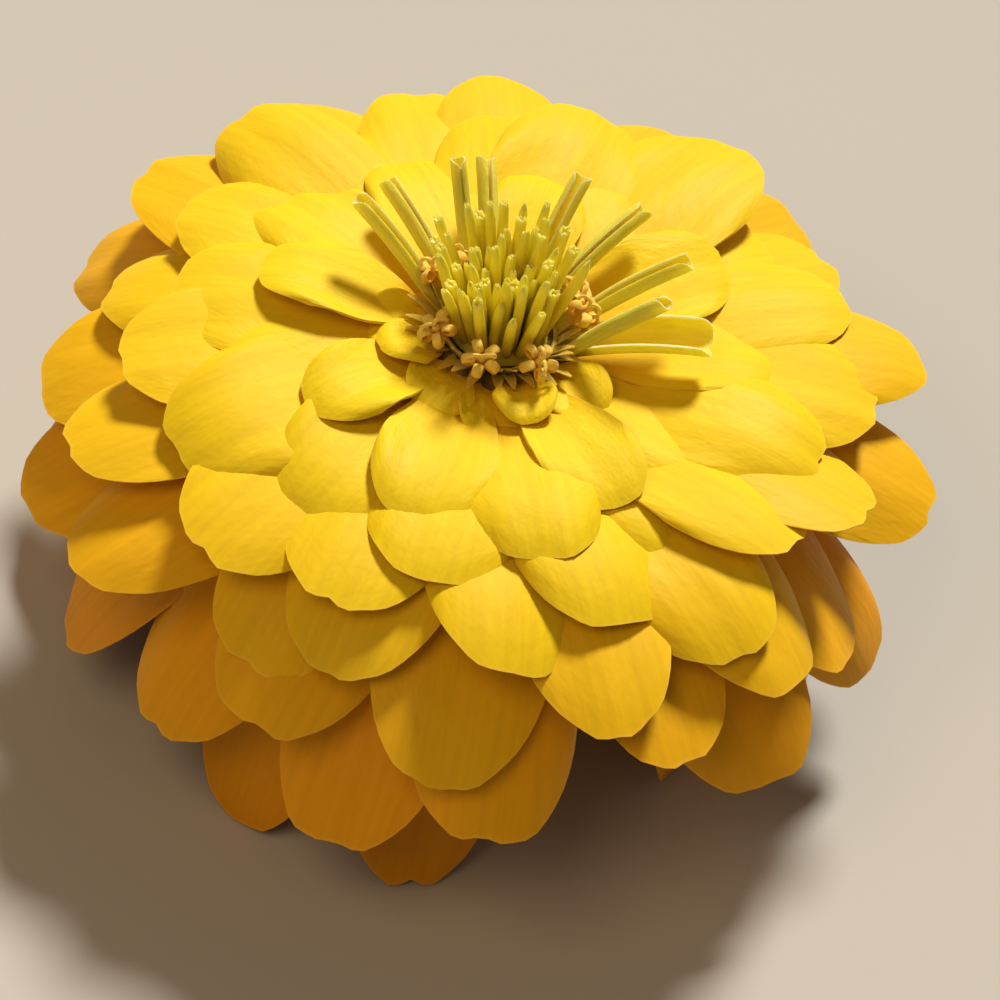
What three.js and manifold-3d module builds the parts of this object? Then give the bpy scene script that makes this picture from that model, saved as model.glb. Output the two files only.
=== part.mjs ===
// A double zinnia bloom, picked with a short stub of stem. It rests face up on the tips of its
// lowest ray petals, with the stub just clear of the surface.
// Millimetres, +Z up, origin on the surface below the middle of the bloom's box.

import * as THREE from 'three';
import { mergeVertices } from 'three/addons/utils/BufferGeometryUtils.js';
import Module from 'manifold-3d';

const wasm = await Module();
wasm.setup();

// Driving dimensions
const eyeHeight = 41;            // surface to the floor of the flower's eye
const seatGap = 0.3;             // air left between two neighbouring pieces
const goldenAngle = 137.508;     // degrees from one petal, tube or bract to the next one

const cutter = [200, 200, 20];   // block that trims what reaches past a flat plane

const petals = {
  count: 104,
  resting: 11,                   // the oldest ones, whose tips bend down to the surface
  restDepth: 0.5,                // how far a resting tip is trimmed to its small flat spot
  firstAzimuth: 128,
  thickness: 0.65,
  foldPower: 1.35,               // above 1 the petal bends more towards its tip
  tipDepth: 0.34,                // share of the length that the round tip takes
  tipSquareness: 2.2,
  tipCorner: 0.55,               // share of the half width where the tip's outline turns
  notch: 0.012,                  // depth of the nick in the tip's middle, as a share of the length
  notchWidth: 0.16,
  shoulder: 0.6,                 // share of the length where the full width is reached
  widening: 1.15,                // above 1 the width grows later
  clawWidth: 0.24,               // width at the root as a share of the full width
  clawLength: 0.35,
  clawChannel: 35,               // extra curl of the claw, in degrees
  curlAtRoot: 0.35,              // share of its curl that an open petal has at the root
  quillCurl: 60,                 // petals curled more than this stay rolled along their length
  quillTipDepth: 0.1,            // the same share for a quill, whose end is nearly square
  youngClaw: 0.6,                // width at the root of the quills and small petals by the eye
  quillAge: 0.14,                // petals younger than this are quills, on the side that opens last
  quillSide: 80,                 // azimuth of the side that opens last
  opened: {
    rise: -14, droop: 34, length: 0.52, width: 1.5, curl: 24, inset: 0.5, claw: 0.3, tip: 0.2,
    sharpness: 3,
  },
  oldSide: -150,                 // azimuth of the side where the old petals hang lowest
  oldHang: 7,                    // degrees that they hang lower there
  vary: {                        // how far each property strays from its row below
    azimuth: 4, rise: 3.5, droop: 5, droopWithAge: 5, length: 0.05, width: 0.06, curl: 12,
    roll: 14, sweep: 0.05,
  },
  middleRow: 0.56,               // where a blade bends, as a share of its own length
  bends: 24,                     // steps that a petal's midline is summed in
  // Each row gives a value from the youngest petal, beside the eye, to the oldest, at the bottom.
  age: [0, 0.05, 0.13, 0.145, 0.22, 0.34, 0.5, 0.66, 0.8, 0.92, 1],
  rise: [60, 44, 30, 22, 18, 18, 15, 10, 4, -9, -20],
  droop: [6, 16, 26, 34, 34, 30, 34, 42, 52, 62, 70],
  length: [14.2, 14.6, 15, 17, 22.5, 29.2, 36.3, 40.8, 44, 45.6, 45],
  width: [4.6, 4.9, 5.4, 9.5, 12.8, 15.6, 16.8, 17.2, 17.5, 17.2, 17],
  curl: [160, 155, 145, 12, -4, -10, -14, -17, -20, -22, -22],
  rootRadius: [7, 6.95, 6.9, 6.8, 6.8, 6.8, 6.9, 7.1, 7.3, 7.4, 7.4],
  rootDepth: [1.2, 1.6, 2.1, 2.4, 3.2, 4.4, 6, 7.6, 9.4, 11, 12.2],
  // Share of its length at which a petal's blade begins, inside the heart.
  start: [0, 0, 0, 0, 0.1, 0.25, 0.3, 0.3, 0.3, 0.3, 0.3],
};

// The heart that the petals stand out of: radius and depth below the eye, from the top round
// to the foot. It fills the part of the bloom where the petals lie on each other, out of sight.
const heart = {
  radius: [0, 6.2, 14, 20.5, 24.3, 27, 28, 27.2, 24.8, 17.5, 12, 0],
  depth: [0.5, 0.5, 0.9, 1.3, 3.4, 7.2, 12, 16.8, 19.6, 16.8, 14.2, 14.2],
  sides: 20,
};

const tubes = {
  count: 56, sides: 6, footRadius: 0.52, mouthRadius: 0.6,
  spread: 4.25,                  // radius of the ring that the outermost tubes stand on
  domeRadius: 5.1, domeRise: 1.1, domeSides: 12,
  domeOutline: [[1, 0], [0.86, 0.5], [0.5, 0.86], [0, 1]],   // shares of radius and rise
  height: 8.2, edgeExtra: 2.6, heightJitter: 1.6,
  backExtra: 1.2,                // the tubes on the side that opens last are longer
  edgeLean: 20, leanJitter: 4, sunk: 0.7, floorGap: 0.2,
  sideLean: [-8, 0],             // the whole bunch leans to one side: degrees along X and Y
};

const florets = {
  azimuths: [14, 34, 99, 143, 161, 224, 264, 306],
  ringInner: 5.6, ringOuter: 6.1, ringRise: 0.5, ringTaper: 0.1, ringSides: 18,
  standRadius: 5.8, height: 5.2, lean: 32, stalkRadius: 0.5, mouthRadius: 1.45,
  throat: 0.62,                  // share of the height where the stalk flares into the mouth
  overlap: 0.3, sides: 5, sunk: 0.4,
};

const involucre = {
  topDepth: 14.5, topRadius: 9.4, footRadius: 3.1, height: 11.5, sides: 20,
  bractRows: [
    { count: 8, start: 0.1, reach: 5.4, width: 5, proud: 1.1 },
    { count: 11, start: 0.34, reach: 5.6, width: 5, proud: 1 },
    { count: 12, start: 0.6, reach: 5, width: 4.6, proud: 0.9 },
  ],
  fullness: 0.8,                 // below 1 the bell swells sooner
  bellSteps: [0, 0.12, 0.3, 0.55, 0.8, 1],
  bractThickness: 2.2,           // the inner half is sunk in the bell
  bractTip: 0.3, bractRowsAlong: [0, 0.55, 1],
  bractFoot: 0.75, bractSwell: 0.5, bractTaper: 0.45,
  bractLift: 0.3,                // share of its stand-off that a bract has at its foot
};

const stem = {
  radius: 2.5, flare: 2.9,
  flareStart: 0.55,              // share of the stub's length where it starts to widen
  clearance: 1.5,                // from the surface to the cut end
  sides: 12,
};

// A repeatable draw from -1 to 1 for copy i. Each property of the copy has its own channel.
function draw(i, channel) {
  const x = Math.sin(i * 12.9898 + channel * 78.233) * 43758.5453;
  return 2 * (x - Math.floor(x)) - 1;
}

const radians = THREE.MathUtils.degToRad;

// The value at x of a row that goes in straight lines from station to station.
function along(stations, values, x) {
  let k = 0;
  while (k < stations.length - 2 && x > stations[k + 1]) k += 1;
  const share = (x - stations[k]) / (stations[k + 1] - stations[k]);
  return THREE.MathUtils.lerp(values[k], values[k + 1], share);
}

function solidOf(geometry) {
  const bare = geometry.clone();
  bare.deleteAttribute('normal');
  bare.deleteAttribute('uv');
  const merged = mergeVertices(bare, 1e-5);
  const mesh = new wasm.Mesh({
    numProp: 3,
    vertProperties: new Float32Array(merged.attributes.position.array),
    triVerts: new Uint32Array(merged.index.array),
  });
  return new wasm.Manifold(mesh);
}

function geometryOf(solid) {
  const mesh = solid.getMesh();
  const geometry = new THREE.BufferGeometry();
  geometry.setAttribute('position', new THREE.BufferAttribute(mesh.vertProperties, 3));
  geometry.setIndex(new THREE.BufferAttribute(mesh.triVerts, 1));
  outerSkin(geometry).computeVertexNormals();
  return geometry;
}

// Joins solids two by two, so that no join works on more than it needs to.
function joined(solids) {
  let level = solids;
  while (level.length > 1) {
    const next = [];
    for (let k = 0; k < level.length; k += 2) {
      next.push(k + 1 < level.length ? level[k].add(level[k + 1]) : level[k]);
    }
    level = next;
  }
  return level[0];
}

// A closed leaf-like solid round a grid of points: both faces are split alike.
function blade(grid, thickness) {
  const rows = grid.length;
  const columns = grid[0].length;
  const positions = [];
  for (const side of [1, -1]) {
    for (let a = 0; a < rows; a += 1) {
      for (let c = 0; c < columns; c += 1) {
        const ahead = grid[Math.min(a + 1, rows - 1)][c].clone().sub(grid[Math.max(a - 1, 0)][c]);
        const across = grid[a][Math.min(c + 1, columns - 1)].clone().sub(grid[a][Math.max(c - 1, 0)]);
        const normal = ahead.cross(across).normalize();
        positions.push(...grid[a][c].clone().addScaledVector(normal, side * thickness / 2).toArray());
      }
    }
  }
  const back = rows * columns;
  const at = (a, c) => a * columns + c;
  const index = [];
  const quad = (p, q, r, s) => index.push(p, q, r, p, r, s);
  for (let a = 0; a < rows - 1; a += 1) {
    for (let c = 0; c < columns - 1; c += 1) {
      const corners = [at(a, c), at(a + 1, c), at(a + 1, c + 1), at(a, c + 1)];
      quad(...corners);
      index.push(back + corners[0], back + corners[2], back + corners[1]);
      index.push(back + corners[0], back + corners[3], back + corners[2]);
    }
  }
  const rim = [];
  for (let c = 0; c < columns - 1; c += 1) rim.push(at(0, c));
  for (let a = 0; a < rows - 1; a += 1) rim.push(at(a, columns - 1));
  for (let c = columns - 1; c > 0; c -= 1) rim.push(at(rows - 1, c));
  for (let a = rows - 1; a > 0; a -= 1) rim.push(at(a, 0));
  rim.forEach((p, k) => {
    const q = rim[(k + 1) % rim.length];
    quad(p, q, back + q, back + p);
  });
  const geometry = new THREE.BufferGeometry();
  geometry.setAttribute('position', new THREE.Float32BufferAttribute(positions, 3));
  geometry.setIndex(index);
  return solidOf(geometry);
}

// The outer skin of a joined solid. What joining seals inside is filled, and a loose scrap is dropped.
function outerSkin(geometry) {
  const { array } = geometry.index;
  const points = geometry.attributes.position;
  const leader = Array.from({ length: points.count }, (_, k) => k);
  const leadOf = (k) => {
    let top = k;
    while (leader[top] !== top) top = leader[top] = leader[leader[top]];
    return top;
  };
  for (let t = 0; t < array.length; t += 3) {
    leader[leadOf(array[t])] = leadOf(array[t + 1]);
    leader[leadOf(array[t + 1])] = leadOf(array[t + 2]);
  }
  const skins = new Map();
  const [p, q, r] = [new THREE.Vector3(), new THREE.Vector3(), new THREE.Vector3()];
  for (let t = 0; t < array.length; t += 3) {
    const skin = skins.get(leadOf(array[t])) ?? { volume: 0, index: [] };
    p.fromBufferAttribute(points, array[t]);
    q.fromBufferAttribute(points, array[t + 1]);
    r.fromBufferAttribute(points, array[t + 2]);
    skin.volume += p.dot(q.cross(r)) / 6;
    skin.index.push(array[t], array[t + 1], array[t + 2]);
    skins.set(leadOf(array[t]), skin);
  }
  const largest = [...skins.values()].reduce((best, skin) => (skin.volume > best.volume ? skin : best));
  geometry.setIndex(largest.index);
  return geometry;
}

function lathe(profile, sides) {
  return solidOf(new THREE.LatheGeometry(profile.map(([r, z]) => new THREE.Vector2(r, z)), sides)
    .rotateX(Math.PI / 2));
}

// Everything about ray petal i: its direction, pose and size.
function petalSpec(i) {
  const { opened, vary } = petals;
  const age = i / (petals.count - 1);
  const at = (key) => along(petals.age, petals[key], age);
  const azimuth = petals.firstAzimuth - i * goldenAngle + vary.azimuth * draw(i, 1);
  const rests = i >= petals.count - petals.resting;
  const side = rests ? 0 : age * Math.cos(radians(azimuth - petals.oldSide));
  const early = age < petals.quillAge;
  const facing = -opened.sharpness * Math.cos(radians(azimuth - petals.quillSide));
  const open = early ? THREE.MathUtils.clamp(facing, 0, 1) : 0;
  const spec = {
    azimuth: radians(azimuth),
    rise: radians(at('rise') + vary.rise * draw(i, 2) - petals.oldHang * side + opened.rise * open),
    droop: radians(at('droop') + opened.droop * open
      + (vary.droop + vary.droopWithAge * age) * draw(i, 3)),
    length: at('length') * (1 + vary.length * draw(i, 4))
      * THREE.MathUtils.lerp(1, opened.length, open),
    width: at('width') * (1 + vary.width * draw(i, 5)) * THREE.MathUtils.lerp(1, opened.width, open),
    curl: THREE.MathUtils.lerp(at('curl'), opened.curl, open) + vary.curl * draw(i, 6),
    roll: radians(vary.roll * draw(i, 7)),
    sweep: vary.sweep * draw(i, 8),
    notch: petals.notch * (1 + draw(i, 9)),
    tipDepth: petals.tipDepth + opened.tip * open,
    claw: early ? THREE.MathUtils.lerp(petals.youngClaw, opened.claw, open) : petals.clawWidth,
    rootRadius: at('rootRadius') - opened.inset * open,
    rootHeight: eyeHeight - at('rootDepth'),
    start: at('start'),
  };
  if (rests) spec.droop = restingDroop(spec);
  return spec;
}

// The bend that brings a petal's tip down to the surface.
function restingDroop(spec) {
  let low = 0;
  let high = Math.PI;
  while (high - low > 1e-6) {
    const droop = (low + high) / 2;
    const bent = { ...spec, droop };
    const corners = [-petals.tipCorner, petals.tipCorner].map((u) => petalPoint(bent, u, 1).z);
    if (Math.min(...corners) > -petals.restDepth) low = droop;
    else high = droop;
  }
  return high;
}

// The point of a petal's middle surface at share v of its length and u, -1 to 1, of its width.
function petalPoint(spec, u, v) {
  const round = 1 - Math.sqrt(Math.max(0, 1 - Math.abs(u) ** petals.tipSquareness));
  const rolled = spec.curl > petals.quillCurl;
  const tipDepth = rolled ? petals.quillTipDepth : spec.tipDepth;
  const t = v * (1 - tipDepth * round - spec.notch * Math.exp(-((u / petals.notchWidth) ** 2)));
  let x = 0;
  let z = 0;
  for (let k = 0; k < petals.bends; k += 1) {
    const angle = spec.rise - spec.droop * (t * (k + 0.5) / petals.bends) ** petals.foldPower;
    x += Math.cos(angle) * spec.length * t / petals.bends;
    z += Math.sin(angle) * spec.length * t / petals.bends;
  }
  const angle = spec.rise - spec.droop * t ** petals.foldPower;
  const grow = Math.sin(Math.min(t / petals.shoulder, 1) * Math.PI / 2) ** petals.widening;
  const half = spec.width / 2 * (spec.claw + (1 - spec.claw) * grow);
  const channel = rolled ? 0 : petals.clawChannel * Math.max(0, 1 - t / petals.clawLength);
  const kept = rolled ? 1 : Math.min(1, petals.curlAtRoot + t);
  const curl = radians(spec.curl * kept + channel);
  const flat = Math.abs(curl) < 1e-4;
  const y = flat ? half * u : half * Math.sin(curl * u) / curl;
  const lift = flat ? 0 : half * (1 - Math.cos(curl * u)) / curl;
  const roll = spec.roll * t;
  const across = y * Math.cos(roll) - lift * Math.sin(roll) + spec.sweep * spec.length * t * t;
  const above = y * Math.sin(roll) + lift * Math.cos(roll);
  return new THREE.Vector3(
    spec.rootRadius + x - above * Math.sin(angle),
    across,
    spec.rootHeight + z + above * Math.cos(angle),
  ).applyAxisAngle(new THREE.Vector3(0, 0, 1), spec.azimuth);
}

function rayPetals() {
  const flatColumns = [-1, -petals.tipCorner, petals.tipCorner, 1];
  const quillColumns = [-1, -0.5, 0, 0.5, 1];
  const profile = heart.radius.map((r, k) => [r, eyeHeight - heart.depth[k]]).reverse();
  const solids = [lathe(profile, heart.sides)];
  for (let i = 0; i < petals.count; i += 1) {
    const spec = petalSpec(i);
    const rolled = spec.curl > petals.quillCurl;
    const columns = rolled ? quillColumns : flatColumns;
    const middle = THREE.MathUtils.lerp(spec.start, 1, petals.middleRow);
    const rows = rolled ? [spec.start, 1] : [spec.start, middle, 1];
    const grid = rows.map((v) => columns.map((u) => petalPoint(spec, u, v)));
    solids.push(blade(grid, petals.thickness));
  }
  const below = solidOf(new THREE.BoxGeometry(...cutter).translate(0, 0, -cutter[2] / 2));
  return geometryOf(joined(solids).subtract(below));
}

// A tapered rod that starts at foot and leans outwards from the axis.
function rod(azimuth, lean, foot, radiusTop, radiusFoot, height, sides) {
  const geometry = new THREE.CylinderGeometry(radiusTop, radiusFoot, height, sides)
    .translate(0, height / 2, 0)
    .rotateX(Math.PI / 2)
    .rotateY(radians(lean))
    .rotateZ(azimuth)
    .translate(foot.x, foot.y, foot.z);
  return solidOf(geometry);
}

function discTubes() {
  const floor = eyeHeight - heart.depth[0] + seatGap;
  const outline = tubes.domeOutline.map(([r, h]) => [tubes.domeRadius * r, floor + tubes.domeRise * h]);
  const solids = [lathe([[0, floor], ...outline], tubes.domeSides)];
  for (let i = 0; i < tubes.count; i += 1) {
    const out = Math.sqrt((i + 0.5) / tubes.count);
    const azimuth = radians(i * goldenAngle);
    const inset = out * tubes.spread / tubes.domeRadius;
    const surface = floor + tubes.domeRise * Math.sqrt(1 - inset ** 2);
    const foot = new THREE.Vector3(
      out * tubes.spread * Math.cos(azimuth),
      out * tubes.spread * Math.sin(azimuth),
      surface - Math.min(tubes.sunk, surface - floor - tubes.floorGap),
    );
    const outwards = tubes.edgeLean * out + tubes.leanJitter * draw(i, 21);
    const leanX = outwards * Math.cos(azimuth) + tubes.sideLean[0];
    const leanY = outwards * Math.sin(azimuth) + tubes.sideLean[1];
    const behind = Math.cos(azimuth - radians(petals.quillSide));
    const height = tubes.height + tubes.edgeExtra * out + tubes.backExtra * out * behind
      + tubes.heightJitter * draw(i, 22);
    solids.push(rod(Math.atan2(leanY, leanX), Math.hypot(leanX, leanY), foot, tubes.mouthRadius,
      tubes.footRadius, height, tubes.sides));
  }
  return geometryOf(joined(solids));
}

function openFlorets() {
  const floor = eyeHeight - heart.depth[0] + seatGap;
  const solids = [lathe([
    [florets.ringInner, floor],
    [florets.ringOuter, floor],
    [florets.ringOuter - florets.ringTaper, floor + florets.ringRise],
    [florets.ringInner, floor + florets.ringRise],
    [florets.ringInner, floor],
  ], florets.ringSides)];
  for (const degrees of florets.azimuths) {
    const azimuth = radians(degrees);
    const foot = new THREE.Vector3(
      florets.standRadius * Math.cos(azimuth),
      florets.standRadius * Math.sin(azimuth),
      floor + florets.ringRise - florets.sunk,
    );
    const stalk = florets.height * florets.throat;
    solids.push(rod(azimuth, florets.lean, foot, florets.stalkRadius, florets.stalkRadius,
      stalk + florets.overlap, florets.sides));
    const mouth = foot.clone().add(new THREE.Vector3(0, 0, stalk)
      .applyAxisAngle(new THREE.Vector3(0, 1, 0), radians(florets.lean))
      .applyAxisAngle(new THREE.Vector3(0, 0, 1), azimuth));
    solids.push(rod(azimuth, florets.lean, mouth, florets.mouthRadius, florets.stalkRadius,
      florets.height - stalk, florets.sides));
  }
  return geometryOf(joined(solids));
}

// The bell's outer radius at share h of its height.
function bellRadius(h) {
  const swell = Math.sin(h * Math.PI / 2) ** involucre.fullness;
  return THREE.MathUtils.lerp(involucre.footRadius, involucre.topRadius, swell);
}

function involucreBell() {
  const top = eyeHeight - involucre.topDepth;
  const foot = top - involucre.height;
  const profile = [[0, foot]];
  for (const h of involucre.bellSteps) profile.push([bellRadius(h), foot + h * involucre.height]);
  profile.push([0, top]);
  const solids = [lathe(profile, involucre.sides)];
  for (const row of involucre.bractRows) {
    for (let k = 0; k < row.count; k += 1) {
      const middle = k * Math.PI * 2 / row.count + row.start;
      const grid = involucre.bractRowsAlong.map((v) => [-1, 0, 1].map((u) => {
        const end = 1 - involucre.bractTip * u * u;
        const h = Math.min(row.start + v * end * row.reach / involucre.height, 1);
        const swell = involucre.bractFoot + involucre.bractSwell * v - involucre.bractTaper * v * v;
        const wide = row.width * swell / 2;
        const standOff = row.proud * Math.min(1, involucre.bractLift + v);
        const radius = bellRadius(h) - involucre.bractThickness / 2 + standOff;
        const turn = middle + u * wide / radius;
        return new THREE.Vector3(radius * Math.cos(turn), radius * Math.sin(turn),
          foot + h * involucre.height);
      }));
      solids.push(blade(grid, involucre.bractThickness));
    }
  }
  const above = solidOf(new THREE.BoxGeometry(...cutter).translate(0, 0, top + cutter[2] / 2));
  return geometryOf(joined(solids).subtract(above));
}

function stemStub() {
  const top = eyeHeight - involucre.topDepth - involucre.height - seatGap;
  return new THREE.LatheGeometry([
    new THREE.Vector2(0, stem.clearance),
    new THREE.Vector2(stem.radius, stem.clearance),
    new THREE.Vector2(stem.radius, stem.clearance + stem.flareStart * (top - stem.clearance)),
    new THREE.Vector2(stem.flare, top),
    new THREE.Vector2(0, top),
  ], stem.sides).rotateX(Math.PI / 2);
}

function piece(name, geometry, color, roughness) {
  const mesh = new THREE.Mesh(geometry, new THREE.MeshStandardMaterial({ color, roughness, metalness: 0 }));
  mesh.name = name;
  return mesh;
}

const zinnia = new THREE.Group();
zinnia.add(piece('ray_petals', rayPetals(), '#f2c41c', 0.6));
zinnia.add(piece('disc_tubes', discTubes(), '#b9ac2a', 0.5));
zinnia.add(piece('open_florets', openFlorets(), '#c79131', 0.6));
zinnia.add(piece('involucre', involucreBell(), '#7f9a45', 0.7));
zinnia.add(piece('stem', stemStub(), '#86a052', 0.7));

// The petals' reach isn't the same on every side, so the whole bloom is centred over the origin.
const box = new THREE.Box3().setFromObject(zinnia);
zinnia.position.set(-(box.min.x + box.max.x) / 2, -(box.min.y + box.max.y) / 2, 0);

export default zinnia;
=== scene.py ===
# A picked double zinnia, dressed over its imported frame. In the dictionaries sizes are millimetres
# and angles are degrees.
import math

import bpy
import numpy as np
from mathutils import Matrix, Vector


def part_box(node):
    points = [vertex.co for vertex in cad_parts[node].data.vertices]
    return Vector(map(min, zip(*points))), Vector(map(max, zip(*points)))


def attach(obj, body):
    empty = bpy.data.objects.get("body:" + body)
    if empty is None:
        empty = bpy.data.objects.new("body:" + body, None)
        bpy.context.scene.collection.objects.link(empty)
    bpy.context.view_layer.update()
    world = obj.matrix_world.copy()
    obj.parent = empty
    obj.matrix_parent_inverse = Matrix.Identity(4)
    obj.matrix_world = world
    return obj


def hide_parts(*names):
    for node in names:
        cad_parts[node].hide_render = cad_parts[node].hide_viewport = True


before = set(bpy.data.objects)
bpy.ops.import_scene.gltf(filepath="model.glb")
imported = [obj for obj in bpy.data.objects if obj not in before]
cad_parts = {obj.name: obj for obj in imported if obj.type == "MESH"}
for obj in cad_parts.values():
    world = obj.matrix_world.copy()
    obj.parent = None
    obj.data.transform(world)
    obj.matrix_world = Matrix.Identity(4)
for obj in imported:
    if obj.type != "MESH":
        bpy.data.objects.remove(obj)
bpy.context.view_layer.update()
mm = 0.001

stemLow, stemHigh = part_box("stem")
bloomAxis = Vector(((stemLow.x + stemHigh.x) / 2, (stemLow.y + stemHigh.y) / 2, 0))
eyeHeight = 41          # surface to the floor of the eye
goldenAngle = 137.508


# Small tools.

def draw(i, channel):
    x = math.sin(i * 12.9898 + channel * 78.233) * 43758.5453
    return 2 * (x - math.floor(x)) - 1


def clearSelection():
    if bpy.context.object and bpy.context.object.mode != "OBJECT":
        bpy.ops.object.mode_set(mode="OBJECT")
    bpy.ops.object.select_all(action="DESELECT")


def takeUp(thing):
    clearSelection()
    thing.select_set(True)
    bpy.context.view_layer.objects.active = thing
    return thing


def markFaces(thing, wanted):   # selects the faces whose middle and normal the test likes
    bpy.ops.object.mode_set(mode="OBJECT")
    mesh = thing.data
    mesh.vertices.foreach_set("select", [False] * len(mesh.vertices))
    mesh.edges.foreach_set("select", [False] * len(mesh.edges))
    for face in mesh.polygons:
        face.select = bool(wanted(face.center, face.normal))
    bpy.ops.object.mode_set(mode="EDIT")
    bpy.ops.mesh.select_mode(type="FACE")


def addModifier(thing, kind, **settings):
    takeUp(thing)
    made = thing.modifiers.new(kind.title(), kind)
    for key, value in settings.items():
        setattr(made, key, value)
    bpy.ops.object.modifier_apply(modifier=made.name)


def copyOf(pattern, name):
    made = bpy.data.objects.new(name, pattern.data.copy())
    bpy.context.scene.collection.objects.link(made)
    return made


def pointsOf(mesh):
    co = np.empty(len(mesh.vertices) * 3)
    mesh.vertices.foreach_get("co", co)
    return co.reshape(-1, 3)


def movePoints(mesh, co):
    mesh.vertices.foreach_set("co", np.ascontiguousarray(co, dtype=np.float32).ravel())
    mesh.update()


def columns(*rows):   # lists and single numbers, side by side
    return np.stack(np.broadcast_arrays(*rows), 1)


def keepVector(mesh, name, values):   # a vector for each point, or one for all, for the material
    held = mesh.attributes.new(name, "FLOAT_VECTOR", "POINT")
    values = np.broadcast_to(values, (len(mesh.vertices), 3))
    held.data.foreach_set("vector", np.ascontiguousarray(values, dtype=np.float32).ravel())


def joinUp(parts, name):
    clearSelection()
    for part in parts:
        part.select_set(True)
    bpy.context.view_layer.objects.active = parts[0]
    bpy.ops.object.join()
    parts[0].name = parts[0].data.name = name
    return parts[0]


def finishPiece(thing, node, material=None, smoothAngle=40):
    takeUp(thing)
    movePoints(thing.data, pointsOf(thing.data) + np.array(bloomAxis))
    if material:
        thing.data.materials.append(material)
    bpy.ops.object.shade_smooth_by_angle(angle=math.radians(smoothAngle))
    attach(thing, "root")
    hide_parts(node)
    print(f"{thing.name}: {sum(len(f.vertices) - 2 for f in thing.data.polygons)} triangles")
    return thing


def turned(points, azimuth, lean):   # leans outwards from +Z, then turns round it
    turn = Matrix.Rotation(azimuth, 3, "Z") @ Matrix.Rotation(lean, 3, "Y")
    return points @ np.array(turn).T


# Materials. Noise is scaled per metre on Object coordinates. A colour Mix node takes its share at
# input 0 and its colours at 6 and 7, and gives the result at output 2.

def linear(hexColour):
    parts = [int(hexColour[k:k + 2], 16) / 255 for k in (1, 3, 5)]
    return [p / 12.92 if p <= 0.04045 else ((p + 0.055) / 1.055) ** 2.4 for p in parts] + [1]


def put(tree, kind, settings=None, links=None):   # one node, its settings and what feeds it
    made = tree.nodes.new("ShaderNode" + kind)
    for key, value in (settings or {}).items():
        if key == "stops":
            ramp = made.color_ramp.elements
            while len(ramp) < len(value):
                ramp.new(0.5)
            for stop, (place, colour) in zip(ramp, value):
                stop.position, stop.color = place, linear(colour)
        elif isinstance(key, str) and hasattr(made, key):
            setattr(made, key, value)
        else:
            made.inputs[key].default_value = value
    for key, source in (links or {}).items():
        tree.links.new(source, made.inputs[key])
    return made


def startMaterial(name):
    material = bpy.data.materials.new(name)
    material.use_nodes = True
    material.node_tree.nodes.clear()
    return material, material.node_tree


petalLook = {
    # colour by age: older petals are deeper amber, and are pushed more orange as painted shade on
    # the old petals that hang low
    "ageAndShadeStops": [(0.14, "#fbda1a"), (0.45, "#fbd318"), (0.65, "#fac114"), (0.85, "#f3a90e"),
                 (1.0, "#e6950b")],
    "backStops": [(0.15, "#f2c52c"), (0.5, "#eab526"), (1.0, "#d08a1c")],
    "quillFace": "#fbe24c", "quillBack": "#efe254",
    # paler margin of open blades, brightened further as a painted rim highlight
    "marginAndRimLightStops": [(0.14, "#ffdf4e"), (0.6, "#fdcd42"), (1.0, "#f0aa34")],
    # the white edge of a rolled blade is a painted highlight line
    "quillEdgeHighlight": "#fbf8d8",
    "quillGlow": 0.7, "glowDepth": 1.5,      # light that passes through a rolled blade
    "marginHighlightWidth": 0.3, "marginHighlightShare": 0.5,
    # claw tint: the claw is deeper in colour, and the same tint also paints the shade where each
    # claw lies under the petal above
    "claw": "#e8a212", "clawShadeFades": 0.5, "clawShadeShare": 0.5,
    "rolledClawShade": 0.15,                      # share of that deeper tint and painted shade that a rolled petal gets
    "faceVeins": 0.9, "backVeins": 0.86,     # brightness of the deepest veins
    "halfWidth": 8.5, "length": 40, "tipReach": 30,   # of a grown blade, to turn shares into mm
    "stretch": 0.05,                         # of the noise along the blade, so that it draws lines
    "bladeShift": 900,                       # moves each blade to its own place in the noise
    "veinEvery": 0.9, "fineEvery": 0.28,     # millimetres from line to line
    "veinDepth": 0.05, "fineShare": 0.35, "creaseEvery": 3.5, "creaseDepth": 0.36,
    "patchesPerMm": 0.12, "roughness": (0.48, 0.64),  # varies in patches about 8 mm wide
}


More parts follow.
